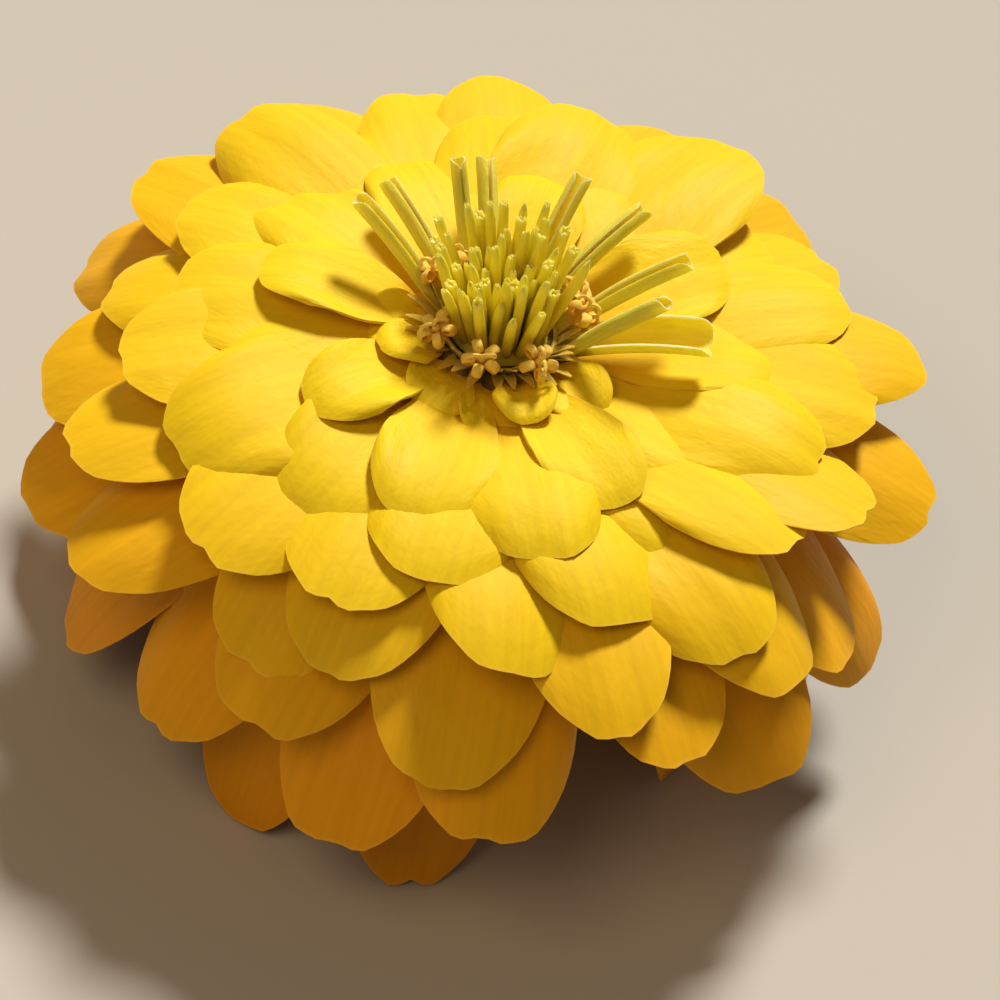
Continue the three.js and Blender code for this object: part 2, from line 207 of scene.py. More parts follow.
def petalSkin(name, stops, rolledTone, deeper):
    # Living ray petal: thin pigmented tissue with a satin bloom. Fine veins run from claw to tip.
    # The claw is deeper in colour and is also painted with the shade under the petal above. The
    # colour by age is partly painted shade on the older, lower petals. The thin margin is paler and
    # partly a painted rim highlight, and rolled blades get a painted white highlight along the
    # edge.
    look = petalLook
    material, tree = startMaterial(name)
    place = put(tree, "Attribute", {"attribute_name": "petalPlace"})     # across, along, age
    mark = put(tree, "Attribute", {"attribute_name": "petalMark"})       # draw, 1 where rolled
    placed = put(tree, "SeparateXYZ", {}, {0: place.outputs["Vector"]})
    marked = put(tree, "SeparateXYZ", {}, {0: mark.outputs["Vector"]})
    across, along, age = placed.outputs
    # colour by age, partly painted shade on the older, lower petals
    opened = put(tree, "ValToRGB", {"stops": stops}, {0: age})
    byAge = put(tree, "Mix", {"data_type": "RGBA", 7: linear(rolledTone)},
                {0: marked.outputs[1], 6: opened.outputs[0]})
    # millimetres across, squeezed along the petal so that the noise draws into lines
    halfWidth, length, tipReach = look["halfWidth"], look["length"], look["tipReach"]
    acrossMm = put(tree, "Math", {"operation": "MULTIPLY", 1: halfWidth}, {0: across})
    alongMm = put(tree, "Math", {"operation": "MULTIPLY", 1: length * look["stretch"]}, {0: along})
    apart = put(tree, "Math", {"operation": "MULTIPLY", 1: look["bladeShift"]},
                {0: marked.outputs[0]})
    lines = put(tree, "CombineXYZ", {}, {0: acrossMm.outputs[0], 1: alongMm.outputs[0],
                                         2: apart.outputs[0]})
    veins = put(tree, "TexNoise", {"Scale": 1 / look["veinEvery"], "Detail": 2.0,
                                   "Roughness": 0.5}, {"Vector": lines.outputs[0]})
    fine = put(tree, "TexNoise", {"Scale": 1 / look["fineEvery"], "Detail": 1.0},
               {"Vector": lines.outputs[0]})
    broad = put(tree, "TexNoise", {"Scale": look["patchesPerMm"], "Detail": 1.0},
                {"Vector": lines.outputs[0]})
    # soft uneven creases, a few millimetres wide
    acrossWide = put(tree, "Math", {"operation": "MULTIPLY", 1: halfWidth / look["creaseEvery"]},
                     {0: across})
    alongWide = put(tree, "Math", {"operation": "MULTIPLY", 1: length / look["creaseEvery"] / 2},
                    {0: along})
    wide = put(tree, "CombineXYZ", {}, {0: acrossWide.outputs[0], 1: alongWide.outputs[0],
                                        2: apart.outputs[0]})
    creases = put(tree, "TexNoise", {"Scale": 1.0, "Detail": 3.0, "Roughness": 0.6},
                  {"Vector": wide.outputs[0]})
    darken = put(tree, "MapRange", {"From Min": 0.3, "From Max": 0.7, "To Min": deeper,
                                    "To Max": 1.0}, {"Value": veins.outputs[0]})
    veined = put(tree, "HueSaturation", {"Saturation": 1.0},
                 {"Color": byAge.outputs[2], "Value": darken.outputs[0]})
    # the claw is deeper in colour and painted with the shade under the petal above; the margin is
    # paler and carries a painted rim highlight
    clawShadeShare = put(tree, "MapRange", {"From Min": look["clawShadeFades"], "From Max": 0.1,
                                       "To Min": 0.0, "To Max": look["clawShadeShare"]},
                    {"Value": along})
    flatBlade = put(tree, "Math", {"operation": "MULTIPLY_ADD", 1: look["rolledClawShade"] - 1, 2: 1.0},
                    {0: marked.outputs[1]})
    clawShadeTint = put(tree, "Math", {"operation": "MULTIPLY"}, {0: clawShadeShare.outputs[0],
                                                            1: flatBlade.outputs[0]})
    clawShaded = put(tree, "Mix", {"data_type": "RGBA", 7: linear(look["claw"])},
                 {0: clawShadeTint.outputs[0], 6: veined.outputs[0]})
    fromMiddle = put(tree, "Math", {"operation": "ABSOLUTE"}, {0: across})
    toSide = put(tree, "Math", {"operation": "MULTIPLY_ADD", 1: -halfWidth, 2: halfWidth},
                 {0: fromMiddle.outputs[0]})
    toTip = put(tree, "Math", {"operation": "MULTIPLY_ADD", 1: -tipReach, 2: tipReach}, {0: along})
    toEdge = put(tree, "Math", {"operation": "MINIMUM"},
                 {0: toSide.outputs[0], 1: toTip.outputs[0]})
    # painted rim highlight: the band along the margin is mixed towards the paler tone, white on
    # rolled blades
    edgeShare = put(tree, "MapRange", {"From Min": look["marginHighlightWidth"], "From Max": 0.05,
                                       "To Min": 0.0, "To Max": look["marginHighlightShare"]},
                    {"Value": toEdge.outputs[0]})
    openTone = put(tree, "ValToRGB", {"stops": look["marginAndRimLightStops"]}, {0: age})
    marginHighlightTone = put(tree, "Mix", {"data_type": "RGBA", 7: linear(look["quillEdgeHighlight"])},
                     {0: marked.outputs[1], 6: openTone.outputs[0]})
    rimHighlighted = put(tree, "Mix", {"data_type": "RGBA"},
                 {0: edgeShare.outputs[0], 6: clawShaded.outputs[2], 7: marginHighlightTone.outputs[2]})
    raised = put(tree, "Math", {"operation": "MULTIPLY_ADD", 1: look["fineShare"]},
                 {0: fine.outputs[0], 2: veins.outputs[0]})
    creased = put(tree, "Bump", {"Strength": 0.6, "Distance": look["creaseDepth"] * mm},
                  {"Height": creases.outputs[0]})
    bump = put(tree, "Bump", {"Strength": 0.5, "Distance": look["veinDepth"] * mm},
               {"Height": raised.outputs[0], "Normal": creased.outputs[0]})
    smoothest, roughest = look["roughness"]
    satin = put(tree, "MapRange", {"From Min": 0.3, "From Max": 0.7, "To Min": smoothest,
                                   "To Max": roughest}, {"Value": broad.outputs[0]})
    glow = put(tree, "Math", {"operation": "MULTIPLY", 1: look["quillGlow"]},
               {0: marked.outputs[1]})
    shader = put(tree, "BsdfPrincipled", {
        "IOR": 1.42, "Specular IOR Level": 0.2, "Sheen Weight": 0.03, "Sheen Roughness": 0.5,
        "Subsurface Radius": (1.0, 0.85, 0.12), "Subsurface Scale": look["glowDepth"] * mm,
    }, {"Base Color": rimHighlighted.outputs[2], "Roughness": satin.outputs[0],
        "Subsurface Weight": glow.outputs[0], "Normal": bump.outputs[0]})
    put(tree, "OutputMaterial", {}, {0: shader.outputs[0]})
    return material


heartShadeLook = {
    # dark green-brown stops: painted shade for the gaps between the claws
    "stops": [(0.35, "#5f4f16"), (0.65, "#84701f")], "grainsPerMetre": 1200, "grainDepth": 0.1,
}


def heartShadeSkin():
    # Receptacle between the claws: firm and matt, painted a dark green-brown as the shade in the
    # gaps between the claws, so that the gaps look deep.
    look = heartShadeLook
    material, tree = startMaterial("receptacle in painted shade")
    objectPlace = put(tree, "TexCoord")
    cells = put(tree, "TexNoise", {"Scale": look["grainsPerMetre"], "Detail": 2.0},
                {"Vector": objectPlace.outputs["Object"]})
    tone = put(tree, "ValToRGB", {"stops": look["stops"]}, {0: cells.outputs[0]})
    bump = put(tree, "Bump", {"Strength": 0.6, "Distance": look["grainDepth"] * mm},
               {"Height": cells.outputs[0]})
    shader = put(tree, "BsdfPrincipled", {"IOR": 1.45, "Roughness": 0.75},
                 {"Base Color": tone.outputs[0], "Normal": bump.outputs[0]})
    put(tree, "OutputMaterial", {}, {0: shader.outputs[0]})
    return material


tubeLook = {
    "stops": [(0.0, "#d0b824"), (0.35, "#ead634"), (0.75, "#f2e242"), (0.95, "#f5e64e"),
              (1.0, "#f9ee80")],
    # pale stripes along the five seams, partly painted lengthwise highlights
    "seam": "#f2e262", "seamHighlightShare": 0.22, "seams": 5, "vary": (0.9, 1.08),
    "grainsPerMetre": 900, "grainDepth": 0.04, "seamRelief": 0.5, "glow": 0.6, "glowDepth": 1.5,
}


def tubeSkin():
    # Disc floret tube: waxy green-yellow skin, almost smooth, with faint seams whose pale stripes
    # are partly painted lengthwise highlights, and a pale mouth.
    look = tubeLook
    material, tree = startMaterial("waxy disc tube")
    place = put(tree, "Attribute", {"attribute_name": "tubePlace"})      # around, along, draw
    placed = put(tree, "SeparateXYZ", {}, {0: place.outputs["Vector"]})
    around, along, shade = placed.outputs
    byHeight = put(tree, "ValToRGB", {"stops": look["stops"]}, {0: along})
    seams = put(tree, "Math", {"operation": "MULTIPLY", 1: look["seams"] * 2 * math.pi},
                {0: around})
    ribs = put(tree, "Math", {"operation": "SINE"}, {0: seams.outputs[0]})
    objectPlace = put(tree, "TexCoord")
    speck = put(tree, "TexNoise", {"Scale": look["grainsPerMetre"], "Detail": 2.0},
                {"Vector": objectPlace.outputs["Object"]})
    darkest, brightest = look["vary"]
    tone = put(tree, "MapRange", {"From Min": -1.0, "From Max": 1.0, "To Min": darkest,
                                  "To Max": brightest}, {"Value": shade})
    tinted = put(tree, "HueSaturation", {"Saturation": 1.0},
                 {"Color": byHeight.outputs[0], "Value": tone.outputs[0]})
    # pale seam stripes, partly painted lengthwise highlights
    seamHighlightMix = put(tree, "MapRange", {"From Min": -1.0, "From Max": 1.0, "To Min": 0.0,
                                      "To Max": look["seamHighlightShare"]}, {"Value": ribs.outputs[0]})
    ribbed = put(tree, "Mix", {"data_type": "RGBA", 7: linear(look["seam"])},
                 {0: seamHighlightMix.outputs[0], 6: tinted.outputs[0]})
    height = put(tree, "Math", {"operation": "MULTIPLY_ADD", 1: look["seamRelief"]},
                 {0: ribs.outputs[0], 2: speck.outputs[0]})
    bump = put(tree, "Bump", {"Strength": 0.4, "Distance": look["grainDepth"] * mm},
               {"Height": height.outputs[0]})
    shader = put(tree, "BsdfPrincipled", {
        "IOR": 1.44, "Roughness": 0.42, "Specular IOR Level": 0.4,
        "Subsurface Weight": look["glow"], "Subsurface Scale": look["glowDepth"] * mm,
        "Subsurface Radius": (1.0, 0.85, 0.12),
    }, {"Base Color": ribbed.outputs[2], "Normal": bump.outputs[0]})
    put(tree, "OutputMaterial", {}, {0: shader.outputs[0]})
    return material


floretLook = {
    "stops": [(0.0, "#b7ab2c"), (0.3, "#dfc03a"), (0.62, "#e8b020"), (0.9, "#f2be2c"),
              (1.0, "#f9da62")],
    "nap": "#cc8a14", "napShare": 0.25, "napDepth": 0.08,
    "tuftsPerMetre": 2600,                   # about 0.4 mm apart
    "glow": 0.1, "glowDepth": 0.6,
}


def floretSkin():
    # Open disc floret: velvety amber lobes that darken into the throat.
    look = floretLook
    material, tree = startMaterial("velvety open floret")
    place = put(tree, "Attribute", {"attribute_name": "floretPlace"})    # outwards, along, draw
    placed = put(tree, "SeparateXYZ", {}, {0: place.outputs["Vector"]})
    byHeight = put(tree, "ValToRGB", {"stops": look["stops"]}, {0: placed.outputs[1]})
    objectPlace = put(tree, "TexCoord")
    nap = put(tree, "TexNoise", {"Scale": look["tuftsPerMetre"], "Detail": 2.0},
              {"Vector": objectPlace.outputs["Object"]})
    dark = put(tree, "MapRange", {"From Min": 0.35, "From Max": 0.75, "To Min": 0.0,
                                  "To Max": look["napShare"]}, {"Value": nap.outputs[0]})
    napped = put(tree, "Mix", {"data_type": "RGBA", 7: linear(look["nap"])},
                 {0: dark.outputs[0], 6: byHeight.outputs[0]})
    bump = put(tree, "Bump", {"Strength": 0.7, "Distance": look["napDepth"] * mm},
               {"Height": nap.outputs[0]})
    shader = put(tree, "BsdfPrincipled", {
        "IOR": 1.42, "Roughness": 0.7, "Sheen Weight": 0.3, "Sheen Roughness": 0.4,
        "Subsurface Weight": look["glow"], "Subsurface Scale": look["glowDepth"] * mm,
        "Subsurface Radius": (1.0, 0.7, 0.1),
    }, {"Base Color": napped.outputs[2], "Normal": bump.outputs[0]})
    put(tree, "OutputMaterial", {}, {0: shader.outputs[0]})
    return material


bractLook = {
    "stops": [(0.3, "#6c8a3a"), (0.7, "#93ab55")], "cloudsPerMetre": 500, "cloudDepth": 0.06,
    "fringe": "#3b2a17", "fringeFrom": 0.94, "fringeCurve": 0.12, "fray": 0.12,
}


def bractSkin():
    # Bract: smooth leathery green, faintly clouded, with a thin dark fringe along its round tip.
    look = bractLook
    material, tree = startMaterial("leathery green bract")
    place = put(tree, "Attribute", {"attribute_name": "bractPlace"})     # across, along, on bract
    placed = put(tree, "SeparateXYZ", {}, {0: place.outputs["Vector"]})
    across, along, isBract = placed.outputs
    objectPlace = put(tree, "TexCoord")
    cloud = put(tree, "TexNoise", {"Scale": look["cloudsPerMetre"], "Detail": 3.0},
                {"Vector": objectPlace.outputs["Object"]})
    green = put(tree, "ValToRGB", {"stops": look["stops"]}, {0: cloud.outputs[0]})
    side = put(tree, "Math", {"operation": "ABSOLUTE"}, {0: across})
    rim = put(tree, "Math", {"operation": "POWER", 1: 3.0}, {0: side.outputs[0]})
    reach = put(tree, "Math", {"operation": "MULTIPLY_ADD", 1: look["fringeCurve"]},
                {0: rim.outputs[0], 2: along})
    frayed = put(tree, "Math", {"operation": "MULTIPLY_ADD", 1: look["fray"]},
                 {0: cloud.outputs[0], 2: reach.outputs[0]})
    fringe = put(tree, "MapRange", {"From Min": look["fringeFrom"], "From Max": 1.0, "To Min": 0.0,
                                    "To Max": 1.0}, {"Value": frayed.outputs[0]})
    onBract = put(tree, "Math", {"operation": "MULTIPLY"}, {0: fringe.outputs[0], 1: isBract})
    coloured = put(tree, "Mix", {"data_type": "RGBA", 7: linear(look["fringe"])},
                   {0: onBract.outputs[0], 6: green.outputs[0]})
    bump = put(tree, "Bump", {"Strength": 0.4, "Distance": look["cloudDepth"] * mm},
               {"Height": cloud.outputs[0]})
    shader = put(tree, "BsdfPrincipled", {"IOR": 1.45, "Roughness": 0.5, "Specular IOR Level": 0.4},
                 {"Base Color": coloured.outputs[2], "Normal": bump.outputs[0]})
    put(tree, "OutputMaterial", {}, {0: shader.outputs[0]})
    return material


stemLook = {
    "stops": [(0.35, "#6f8b41"), (0.65, "#9ab267")], "hairsPerMetre": 2200, "downDepth": 0.1,
    "streaks": 22, "streak": "#55702f", "streakShare": 0.3, "streakRelief": 0.6,
    "cut": "#d5dcb0", "cutHeight": (1.75, 1.6),     # where the pale end starts, and is full
}


def stemSkin():
    # Stem: finely ribbed green skin with a rough down of short hairs and a pale wet cut end.
    look = stemLook
    material, tree = startMaterial("downy green stem")
    objectPlace = put(tree, "TexCoord")
    centred = put(tree, "Mapping", {"Location": (-bloomAxis.x, -bloomAxis.y, 0)},
                  {"Vector": objectPlace.outputs["Object"]})
    parts = put(tree, "SeparateXYZ", {}, {0: centred.outputs[0]})
    angle = put(tree, "Math", {"operation": "ARCTAN2"}, {0: parts.outputs[1], 1: parts.outputs[0]})
    ribs = put(tree, "Math", {"operation": "MULTIPLY", 1: look["streaks"]}, {0: angle.outputs[0]})
    ribWave = put(tree, "Math", {"operation": "SINE"}, {0: ribs.outputs[0]})
    down = put(tree, "TexNoise", {"Scale": look["hairsPerMetre"], "Detail": 2.0},
               {"Vector": centred.outputs[0]})
    skin = put(tree, "ValToRGB", {"stops": look["stops"]}, {0: down.outputs[0]})
    streak = put(tree, "MapRange", {"From Min": -1.0, "From Max": 1.0, "To Min": 0.0,
                                    "To Max": look["streakShare"]}, {"Value": ribWave.outputs[0]})
    ribbed = put(tree, "Mix", {"data_type": "RGBA", 7: linear(look["streak"])},
                 {0: streak.outputs[0], 6: skin.outputs[0]})
    start, full = look["cutHeight"]
    cut = put(tree, "MapRange", {"From Min": start * mm, "From Max": full * mm, "To Min": 0.0,
                                 "To Max": 1.0}, {"Value": parts.outputs[2]})
    coloured = put(tree, "Mix", {"data_type": "RGBA", 7: linear(look["cut"])},
                   {0: cut.outputs[0], 6: ribbed.outputs[2]})
    height = put(tree, "Math", {"operation": "MULTIPLY_ADD", 1: look["streakRelief"]},
                 {0: ribWave.outputs[0], 2: down.outputs[0]})
    bump = put(tree, "Bump", {"Strength": 0.6, "Distance": look["downDepth"] * mm},
               {"Height": height.outputs[0]})
    shader = put(tree, "BsdfPrincipled", {"IOR": 1.45, "Roughness": 0.6, "Sheen Weight": 0.15},
                 {"Base Color": coloured.outputs[2], "Normal": bump.outputs[0]})
    put(tree, "OutputMaterial", {}, {0: shader.outputs[0]})
    return material


# Ray petals.

rayPetals = {
    "count": 104, "resting": 11, "firstAzimuth": 128, "tipVary": 0.4,
    "thickness": 0.32, "edgeShare": 0.45,    # a blade, and how thin its margin gets
    "across": 22, "along": 14,               # faces of one blade
    "foldPower": 1.35, "tipDepth": 0.34, "tipSquareness": 2.2, "notchWidth": 0.16, "notch": 0.012,
    "shoulder": 0.6, "widening": 1.15, "clawWidth": 0.24, "clawLength": 0.35, "clawChannel": 35,
    "curlAtRoot": 0.35, "quillCurl": 60, "quillAge": 0.14, "quillSide": 80,
    "youngClaw": 0.6, "quillTipDepth": 0.1, "quillShut": 12,
    "opened": {"rise": -14, "droop": 34, "length": 0.52, "width": 1.5, "curl": 24, "inset": 0.5,
               "claw": 0.3, "tip": 0.2, "sharpness": 3},
    "oldSide": -150, "oldHang": 7,
    "vary": {"azimuth": 4, "rise": 3.5, "droop": 5, "droopWithAge": 5, "length": 0.05,
             "width": 0.06, "curl": 12, "roll": 14, "sweep": 0.05},
    "flatFrom": 0.25, "flatOver": 0.4,       # where an open blade flattens out and starts to pleat
    "pleat": 0.14, "pleats": 2.5, "pleatFades": 0.5,
    "edgeWave": 0.45, "waves": 7, "waveSides": 1.5, "wavePower": 3,
    "tipBend": 1.7, "tipBendVary": 0.9, "tipBendFrom": 0.72,
    "teeth": 0.009, "toothSteps": (9, 5),
    "phaseVary": 3,                          # how far a draw shifts teeth, pleats and waves
    "grownLength": 26,                       # shorter blades bend, pleat and wave less
    "closerTips": 0.85, "rimFrom": 0.99,     # spacing of the rows, and where the margin starts
    "curveSteps": 120,                       # along a blade's middle line
    "clearance": 0.12,                       # of a resting tip above the surface
    "restRows": (0.85, 0.9, 0.95, 1), "restPoints": 21,   # where its height is measured
    # from the youngest petal to the oldest
    "age": [0, 0.05, 0.13, 0.145, 0.22, 0.34, 0.5, 0.66, 0.8, 0.92, 1],
    "rise": [60, 44, 30, 22, 18, 18, 15, 10, 4, -9, -20],
    "droop": [6, 16, 26, 34, 34, 30, 34, 42, 52, 62, 70],
    "length": [14.2, 14.6, 15, 17, 22.5, 29.2, 36.3, 40.8, 44, 45.6, 45],
    "width": [4.6, 4.9, 5.4, 9.5, 12.8, 15.6, 16.8, 17.2, 17.5, 17.2, 17],
    "curl": [160, 155, 145, 12, -4, -10, -14, -17, -20, -22, -22],
    "rootRadius": [7, 6.95, 6.9, 6.8, 6.8, 6.8, 6.9, 7.1, 7.3, 7.4, 7.4],
    "rootDepth": [1.2, 1.6, 2.1, 2.4, 3.2, 4.4, 6, 7.6, 9.4, 11, 12.2],
}


def petalShape(i):
    p = rayPetals
    age = i / (p["count"] - 1)
    at = lambda key: float(np.interp(age, p["age"], p[key]))
    opened, vary = p["opened"], p["vary"]
    azimuth = p["firstAzimuth"] - i * goldenAngle + vary["azimuth"] * draw(i, 1)
    rests = i >= p["count"] - p["resting"]
    side = 0 if rests else age * math.cos(math.radians(azimuth - p["oldSide"]))
    facing = -opened["sharpness"] * math.cos(math.radians(azimuth - p["quillSide"]))
    opening = min(1, max(0, facing)) if age < p["quillAge"] else 0
    young = p["youngClaw"] + (opened["claw"] - p["youngClaw"]) * opening
    shape = {
        "index": i, "age": age, "azimuth": math.radians(azimuth),
        "rise": math.radians(at("rise") + vary["rise"] * draw(i, 2) - p["oldHang"] * side
                             + opened["rise"] * opening),
        "droop": math.radians(at("droop") + opened["droop"] * opening
                              + (vary["droop"] + vary["droopWithAge"] * age) * draw(i, 3)),
        "length": (at("length") * (1 + vary["length"] * draw(i, 4))
                   * (1 + (opened["length"] - 1) * opening)),
        "width": (at("width") * (1 + vary["width"] * draw(i, 5))
                  * (1 + (opened["width"] - 1) * opening)),
        "curl": at("curl") * (1 - opening) + opened["curl"] * opening + vary["curl"] * draw(i, 6),
        "roll": math.radians(vary["roll"] * draw(i, 7)),
        "sweep": vary["sweep"] * draw(i, 8),
        "notch": p["notch"] * (1 + draw(i, 9)),
        "tipDepth": p["tipDepth"] + opened["tip"] * opening,
        "claw": young if age < p["quillAge"] else p["clawWidth"],
        "rootRadius": at("rootRadius") - opened["inset"] * opening,
        "rootHeight": eyeHeight - at("rootDepth"),
    }
    if rests:   # bends until its lowest point is just above the surface
        tip, rows = np.linspace(-1, 1, p["restPoints"]), p["restRows"]
        low, high = 0.0, math.pi
        while high - low > 1e-5:
            shape["droop"] = (low + high) / 2
            reached = bendPetal(shape, np.tile(tip, len(rows)), np.repeat(rows, len(tip)))
            if reached[:, 2].min() > p["clearance"] + p["thickness"] / 2:
                low = shape["droop"]
            else:
                high = shape["droop"]
        shape["droop"] = low
    return shape


def bendPetal(shape, u, v):   # a flat blade's points, u across and v along, brought to the bloom
    p, i = rayPetals, shape["index"]
    shift = lambda channel: p["phaseVary"] * draw(i, channel)
    squareness = p["tipSquareness"] + p["tipVary"] * draw(i, 16)
    rounding = 1 - np.sqrt(np.maximum(0, 1 - np.abs(u) ** squareness))
    nick = shape["notch"] * np.exp(-(u / p["notchWidth"]) ** 2)
    fine, coarse = p["toothSteps"]
    teeth = p["teeth"] * np.sin(fine * u + shift(10)) * np.sin(coarse * u + shift(11))
    rolled = shape["curl"] > p["quillCurl"]
    tipDepth = p["quillTipDepth"] if rolled else shape["tipDepth"]
    t = v * (1 - tipDepth * rounding - nick + teeth * (1 - u * u))
    count = p["curveSteps"]
    steps = np.linspace(0, 1, count + 1)
    angles = shape["rise"] - shape["droop"] * steps ** p["foldPower"]
    middles = (angles[1:] + angles[:-1]) / 2
    reach = np.concatenate([[0], np.cumsum(np.cos(middles))]) * shape["length"] / count
    climb = np.concatenate([[0], np.cumsum(np.sin(middles))]) * shape["length"] / count
    x, z, angle = (np.interp(t, steps, row) for row in (reach, climb, angles))
    grow = np.sin(np.minimum(t / p["shoulder"], 1) * math.pi / 2) ** p["widening"]
    half = shape["width"] / 2 * (shape["claw"] + (1 - shape["claw"]) * grow)
    channel = 0 * t if rolled else p["clawChannel"] * np.maximum(0, 1 - t / p["clawLength"])
    kept = 1 if rolled else np.minimum(1, p["curlAtRoot"] + t)
    shut = p["quillShut"] if rolled else 0       # fine blades roll up closer than the frame's
    curl = np.radians(shape["curl"] * kept + channel + shut)
    curl = np.where(np.abs(curl) < 1e-4, 1e-4, curl)
    y = half * np.sin(curl * u) / curl
    lift = half * (1 - np.cos(curl * u)) / curl
    if not rolled:   # soft pleats along the blade, a waved margin and a tip that bends a little
        grown = min(1, shape["length"] / p["grownLength"])
        flat = grown * np.clip((t - p["flatFrom"]) / p["flatOver"], 0, 1)
        pleats = np.cos(p["pleats"] * math.pi * u + shift(12)) * (1 - p["pleatFades"] * t)
        waves = np.sin(p["waves"] * t + shift(13) + p["waveSides"] * np.sign(u))
        lift += flat * (p["pleat"] * pleats + p["edgeWave"] * np.abs(u) ** p["wavePower"] * waves)
        bent = p["tipBend"] * (1 - shape["age"]) + p["tipBendVary"] * draw(i, 14)
        nearTip = np.clip((v - p["tipBendFrom"]) / (1 - p["tipBendFrom"]), 0, 1)
        lift -= grown * bent * nearTip ** 2
    roll = shape["roll"] * t
    across = y * np.cos(roll) - lift * np.sin(roll) + shape["sweep"] * shape["length"] * t * t
    above = y * np.sin(roll) + lift * np.cos(roll)
    out = shape["rootRadius"] + x - above * np.sin(angle)
    up = shape["rootHeight"] + z + above * np.cos(angle)
    c, s = math.cos(shape["azimuth"]), math.sin(shape["azimuth"])
    return columns(out * c - across * s, out * s + across * c, up)


def makePetals():
    p = rayPetals
    clearSelection()
    bpy.ops.mesh.primitive_grid_add(x_subdivisions=p["across"], y_subdivisions=p["along"], size=2)
    pattern = bpy.context.object
    bpy.ops.object.mode_set(mode="EDIT")
    bpy.ops.mesh.select_all(action="SELECT")
    bpy.ops.transform.translate(value=(0, 1, 0))
    bpy.ops.transform.resize(value=(1, 0.5, 1), center_override=(0, 0, 0))
    bpy.ops.mesh.flip_normals()   # across and along change places when a blade is bent
    bpy.ops.object.mode_set(mode="OBJECT")
    look = petalLook
    for material in (
            petalSkin("satin petal face", look["ageAndShadeStops"], look["quillFace"], look["faceVeins"]),
            petalSkin("matt petal back", look["backStops"], look["quillBack"], look["backVeins"])):
        pattern.data.materials.append(material)
    flat = pointsOf(pattern.data)
    u = np.sin(flat[:, 0] * math.pi / 2)          # closer rows near the margins
    v = flat[:, 1] ** p["closerTips"]             # and near the tip
    inner = (np.abs(flat[:, 0]) < p["rimFrom"]) & (v < p["rimFrom"])
    blades = []
    for i in range(p["count"]):
        shape = petalShape(i)
        blade = copyOf(pattern, f"blade{i}")
        movePoints(blade.data, bendPetal(shape, u, v) * mm)
        keepVector(blade.data, "petalPlace", columns(u, v, shape["age"]))
        keepVector(blade.data, "petalMark", [draw(i, 15), shape["curl"] > p["quillCurl"], 0])
        body = blade.vertex_groups.new(name="body")
        body.add([int(k) for k in np.nonzero(inner)[0]], 1.0, "REPLACE")
        blades.append(blade)
    bpy.data.objects.remove(pattern)
    petals = joinUp(blades, "rayPetals")
    addModifier(petals, "SOLIDIFY", thickness=p["thickness"] * mm, offset=0, use_even_offset=False,
                vertex_group="body", thickness_vertex_group=p["edgeShare"], material_offset=1,
                material_offset_rim=0)
    return petals


# Heart of the head: raised ring by ring from a circle.

def raiseRings(name, rings, sides, close=True):   # rings are radius and height, from the foot up
    clearSelection()
    radius, height = rings[0]
    bpy.ops.mesh.primitive_circle_add(vertices=sides, radius=radius * mm,
                                      fill_type="NGON" if close else "NOTHING",
                                      location=(0, 0, height * mm))
    made = bpy.context.object
    bpy.ops.object.transform_apply(location=True, rotation=True, scale=True)
    bpy.ops.object.mode_set(mode="EDIT")
    bpy.ops.mesh.select_all(action="SELECT")
    for nextRadius, nextHeight in rings[1:]:
        bpy.ops.mesh.extrude_region_move(
            TRANSFORM_OT_translate={"value": (0, 0, (nextHeight - height) * mm)})
        share = nextRadius / radius
        bpy.ops.transform.resize(value=(share, share, 1), center_override=(0, 0, 0))
        radius, height = nextRadius, nextHeight
    bpy.ops.mesh.select_all(action="SELECT")
    bpy.ops.mesh.remove_doubles(threshold=0.00001)
    bpy.ops.mesh.normals_make_consistent(inside=False)
    bpy.ops.object.mode_set(mode="OBJECT")
    made.name = made.data.name = name
    return made


headHeart = {   # radius and height above the surface; the claws of the petals stand out of it
    "rings": [(7.6, 26.8), (8.4, 27.6), (8.8, 30), (8.7, 34), (8.3, 37.4), (7.6, 39.4),
              (6.4, 40.5)],
    "sides": 32,
}


def makeHeart():
    heart = raiseRings("headHeart", headHeart["rings"], headHeart["sides"])
    heart.data.materials.append(heartShadeSkin())
    return heart


# Disc tubes.

discTubes = {
    "count": 56, "sides": 15, "cuts": (0.3, 0.6, 0.84, 0.94),    # rings, as shares of the height
    "footRadius": 0.52, "mouthRadius": 0.62, "flare": 0.8, "spread": 4.25,
    "domeRadius": 5.1, "domeRise": 1.1, "floor": 40.8, "height": 8.2, "edgeExtra": 2.6,
    "heightJitter": 1.6, "backExtra": 1.2, "edgeLean": 20, "sideLean": (-8, 0), "leanJitter": 4,
    "sunk": 0.7, "footAbove": 0.2, "bowing": 0.6, "bowMiddle": 0.6, "oval": 0.1,
    "domeRings": [(1, 0), (0.86, 0.5), (0.5, 0.86), (0.1, 1)], "domeSides": 24,
    "waist": {"depth": 0.14, "at": 0.86, "width": 0.06},         # just below the mouth
    "shut": {"usual": 0.45, "vary": 0.6, "least": 0.1, "most": 0.85, "length": 0.16, "power": 1.6},
    "wall": 0.5, "pit": 0.05, "pitShare": 0.7, "lobe": 0.16, "mouthTilt": 0.35,
    "mouthFrom": 0.9, "pitShadeReach": 0.8,                           # shares of height and wall
    "pitShadeTone": 0.1, "domeShadeTone": -0.6,                            # read by the tubes' material: painted shade in the mouths' pits and on the dome between the tube feet
}


